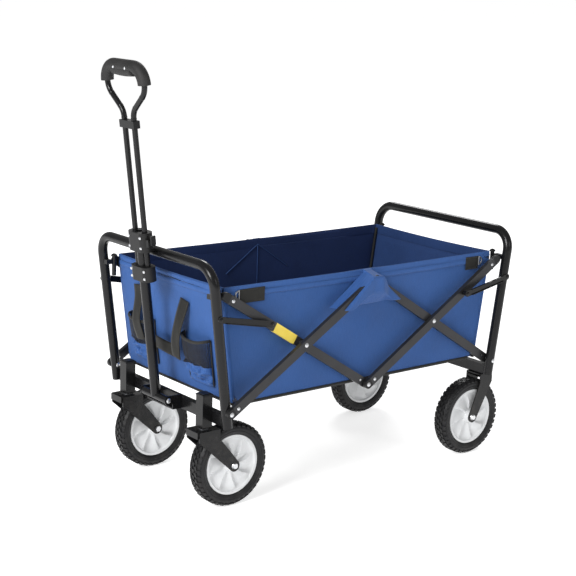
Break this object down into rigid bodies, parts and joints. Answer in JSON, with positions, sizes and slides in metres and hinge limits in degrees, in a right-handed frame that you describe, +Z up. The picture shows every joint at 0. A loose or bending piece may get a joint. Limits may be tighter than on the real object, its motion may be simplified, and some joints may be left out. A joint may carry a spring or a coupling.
{
  "type": "folding camp wagon",
  "caption": "Folding wagon with a cloth basket, leaning end frames joined by scissor bars, swivelling front casters, fixed rear wheels and a telescoping pull handle.",
  "frame": {"origin": "on the ground, below the middle of the whole wagon's bounding box", "axes": "+X to the rear, away from the pull handle; +Y to the wagon's right seen from behind the grip, the far side; +Z up"},
  "size_m": [0.9706, 0.488, 0.9496],
  "materials": {
    "front_frame": "black powder coat",
    "front_crossbar": "black powder coat",
    "handle_bracket": "black powder coat",
    "caster_posts": "black powder coat",
    "front_caps": "moulded black plastic",
    "front_corner_posts": "black powder coat",
    "front_frame_pins": "bright zinc plate",
    "front_panel": "woven blue polyester",
    "cup_pockets": "dark mesh and webbing",
    "front_straps": "dark mesh and webbing",
    "handle_pivot_bolt": "bright zinc plate",
    "side_panel_near": "woven blue polyester",
    "side_panel_far": "woven blue polyester",
    "floor_panel": "woven blue polyester",
    "front_d_rings": "bright zinc plate",
    "front_rising_bars": "dark grey powder coat",
    "front_rising_plugs": "moulded black plastic",
    "front_rising_pins": "bright zinc plate",
    "front_falling_bars": "dark grey powder coat",
    "front_falling_plugs": "moulded black plastic",
    "front_falling_pins": "bright zinc plate",
    "warning_bands": "pale yellow film",
    "rear_falling_bars": "dark grey powder coat",
    "rear_falling_plugs": "moulded black plastic",
    "rear_falling_pins": "bright zinc plate",
    "rear_rising_bars": "dark grey powder coat",
    "rear_rising_plugs": "moulded black plastic",
    "rear_rising_pins": "bright zinc plate",
    "rear_frame": "black powder coat",
    "rear_crossbar": "black powder coat",
    "rear_fork_near": "black powder coat",
    "rear_fork_far": "black powder coat",
    "rear_corner_posts": "black powder coat",
    "rear_caps": "moulded black plastic",
    "rear_frame_pins": "bright zinc plate",
    "rear_panel": "woven blue polyester",
    "rear_axles": "bright zinc plate",
    "rear_d_rings": "bright zinc plate",
    "front_links": "black powder coat",
    "rear_links": "black powder coat",
    "caster_fork_near": "black powder coat",
    "caster_stem_near": "dull zinc plate",
    "front_axle_near": "bright zinc plate",
    "front_rim_near": "white moulded plastic",
    "front_tyre_near": "dark moulded rubber",
    "rear_rim_near": "white moulded plastic",
    "rear_tyre_near": "dark moulded rubber",
    "caster_fork_far": "black powder coat",
    "caster_stem_far": "dull zinc plate",
    "front_axle_far": "bright zinc plate",
    "front_rim_far": "white moulded plastic",
    "front_tyre_far": "dark moulded rubber",
    "rear_rim_far": "white moulded plastic",
    "rear_tyre_far": "dark moulded rubber",
    "handle_tube": "black powder coat",
    "handle_top_block": "moulded black plastic",
    "handle_loop": "black powder coat",
    "handle_slide_block": "moulded black plastic",
    "handle_grip": "soft black grip",
    "handle_lever": "moulded black plastic"
  },
  "bodies": {
    "front_end": {"front_frame": "front_frame", "front_crossbar": "front_crossbar", "handle_bracket": "handle_bracket", "caster_posts": "caster_posts", "front_caps": "front_caps", "front_corner_posts": "front_corner_posts", "front_frame_pins": "front_frame_pins", "front_panel": "front_panel", "cup_pockets": "cup_pockets", "front_straps": "front_straps", "handle_pivot_bolt": "handle_pivot_bolt", "side_panel_near": "side_panel_near", "side_panel_far": "side_panel_far", "floor_panel": "floor_panel", "front_d_rings": "front_d_rings"},
    "front_rising": {"front_rising_bars": "front_rising_bars", "front_rising_plugs": "front_rising_plugs", "front_rising_pins": "front_rising_pins"},
    "front_falling": {"front_falling_bars": "front_falling_bars", "front_falling_plugs": "front_falling_plugs", "front_falling_pins": "front_falling_pins", "warning_bands": "warning_bands"},
    "rear_falling": {"rear_falling_bars": "rear_falling_bars", "rear_falling_plugs": "rear_falling_plugs", "rear_falling_pins": "rear_falling_pins"},
    "rear_rising": {"rear_rising_bars": "rear_rising_bars", "rear_rising_plugs": "rear_rising_plugs", "rear_rising_pins": "rear_rising_pins"},
    "rear_end": {"rear_frame": "rear_frame", "rear_crossbar": "rear_crossbar", "rear_fork_near": "rear_fork_near", "rear_fork_far": "rear_fork_far", "rear_corner_posts": "rear_corner_posts", "rear_caps": "rear_caps", "rear_frame_pins": "rear_frame_pins", "rear_panel": "rear_panel", "rear_axles": "rear_axles", "rear_d_rings": "rear_d_rings"},
    "front_link_pair": {"front_links": "front_links"},
    "rear_link_pair": {"rear_links": "rear_links"},
    "caster_near": {"caster_fork_near": "caster_fork_near", "caster_stem_near": "caster_stem_near", "front_axle_near": "front_axle_near"},
    "front_wheel_near": {"front_rim_near": "front_rim_near", "front_tyre_near": "front_tyre_near"},
    "rear_wheel_near": {"rear_rim_near": "rear_rim_near", "rear_tyre_near": "rear_tyre_near"},
    "caster_far": {"caster_fork_far": "caster_fork_far", "caster_stem_far": "caster_stem_far", "front_axle_far": "front_axle_far"},
    "front_wheel_far": {"front_rim_far": "front_rim_far", "front_tyre_far": "front_tyre_far"},
    "rear_wheel_far": {"rear_rim_far": "rear_rim_far", "rear_tyre_far": "rear_tyre_far"},
    "handle_arm": {"handle_tube": "handle_tube", "handle_top_block": "handle_top_block"},
    "handle_slider": {"handle_loop": "handle_loop", "handle_slide_block": "handle_slide_block", "handle_grip": "handle_grip"},
    "handle_release": {"handle_lever": "handle_lever"}
  },
  "joints": [
    {"name": "fold", "type": "hinge", "parent": "front_end", "child": "front_rising", "pos_m": [-0.35316, 0, 0.236], "axis": [0, -1, 0], "range_deg": [0, 44], "deforming": ["side_panel_near", "side_panel_far", "floor_panel"]},
    {"name": "front_cross", "type": "hinge", "parent": "front_rising", "child": "front_falling", "pos_m": [-0.15816, 0, 0.35785], "axis": [0, -1, 0], "range_deg": [-88, 0]},
    {"name": "upper_hub", "type": "hinge", "parent": "front_rising", "child": "rear_falling", "pos_m": [0.03684, 0, 0.4797], "axis": [0, -1, 0], "range_deg": [-88, 0]},
    {"name": "rear_cross", "type": "hinge", "parent": "rear_falling", "child": "rear_rising", "pos_m": [0.23184, 0, 0.35785], "axis": [0, -1, 0], "range_deg": [0, 88]},
    {"name": "rear_pivot", "type": "hinge", "parent": "rear_falling", "child": "rear_end", "pos_m": [0.42684, 0, 0.236], "axis": [0, -1, 0], "range_deg": [0, 44]},
    {"name": "front_link_pivot", "type": "hinge", "parent": "front_end", "child": "front_link_pair", "pos_m": [-0.38005, 0, 0.44024], "axis": [0, -1, 0], "range_deg": [0, 76.23]},
    {"name": "rear_link_pivot", "type": "hinge", "parent": "rear_end", "child": "rear_link_pair", "pos_m": [0.45373, 0, 0.44024], "axis": [0, -1, 0], "range_deg": [-76.23, 0]},
    {"name": "caster_swivel_near", "type": "hinge", "parent": "front_end", "child": "caster_near", "pos_m": [-0.36186, -0.15, 0.2], "axis": [0, 0, 1], "continuous": true},
    {"name": "front_roll_near", "type": "hinge", "parent": "caster_near", "child": "front_wheel_near", "pos_m": [-0.29486, -0.15, 0.0935], "axis": [0, 1, 0], "continuous": true},
    {"name": "rear_roll_near", "type": "hinge", "parent": "rear_end", "child": "rear_wheel_near", "pos_m": [0.39184, -0.193, 0.0935], "axis": [0, 1, 0], "continuous": true},
    {"name": "caster_swivel_far", "type": "hinge", "parent": "front_end", "child": "caster_far", "pos_m": [-0.36186, 0.15, 0.2], "axis": [0, 0, 1], "continuous": true},
    {"name": "front_roll_far", "type": "hinge", "parent": "caster_far", "child": "front_wheel_far", "pos_m": [-0.29486, 0.15, 0.0935], "axis": [0, 1, 0], "continuous": true},
    {"name": "rear_roll_far", "type": "hinge", "parent": "rear_end", "child": "rear_wheel_far", "pos_m": [0.39184, 0.193, 0.0935], "axis": [0, 1, 0], "continuous": true},
    {"name": "handle_swing", "type": "hinge", "parent": "front_end", "child": "handle_arm", "pos_m": [-0.38416, 0, 0.222], "axis": [0, -1, 0], "range_deg": [0, 95]},
    {"name": "handle_extend", "type": "slide", "parent": "handle_arm", "child": "handle_slider", "axis": [-0.1219, 0, 0.9925], "range_m": [-0.215, 0]},
    {"name": "lever_press", "type": "hinge", "parent": "handle_arm", "child": "handle_release", "pos_m": [-0.42706, -0.038, 0.57138], "axis": [-0.9925, 0, -0.1219], "range_deg": [0, 12], "stiffness_Nm_per_rad": 0.05, "springref_deg": -11.46}
  ],
  "couplings": [
    {"joint": "front_cross", "follows": "fold", "ratio": -2},
    {"joint": "upper_hub", "follows": "fold", "ratio": -2},
    {"joint": "rear_cross", "follows": "fold", "ratio": 2},
    {"joint": "rear_pivot", "follows": "fold", "ratio": 1},
    {"joint": "front_link_pivot", "follows": "fold", "ratio": 1.732},
    {"joint": "rear_link_pivot", "follows": "fold", "ratio": -1.732}
  ]
}
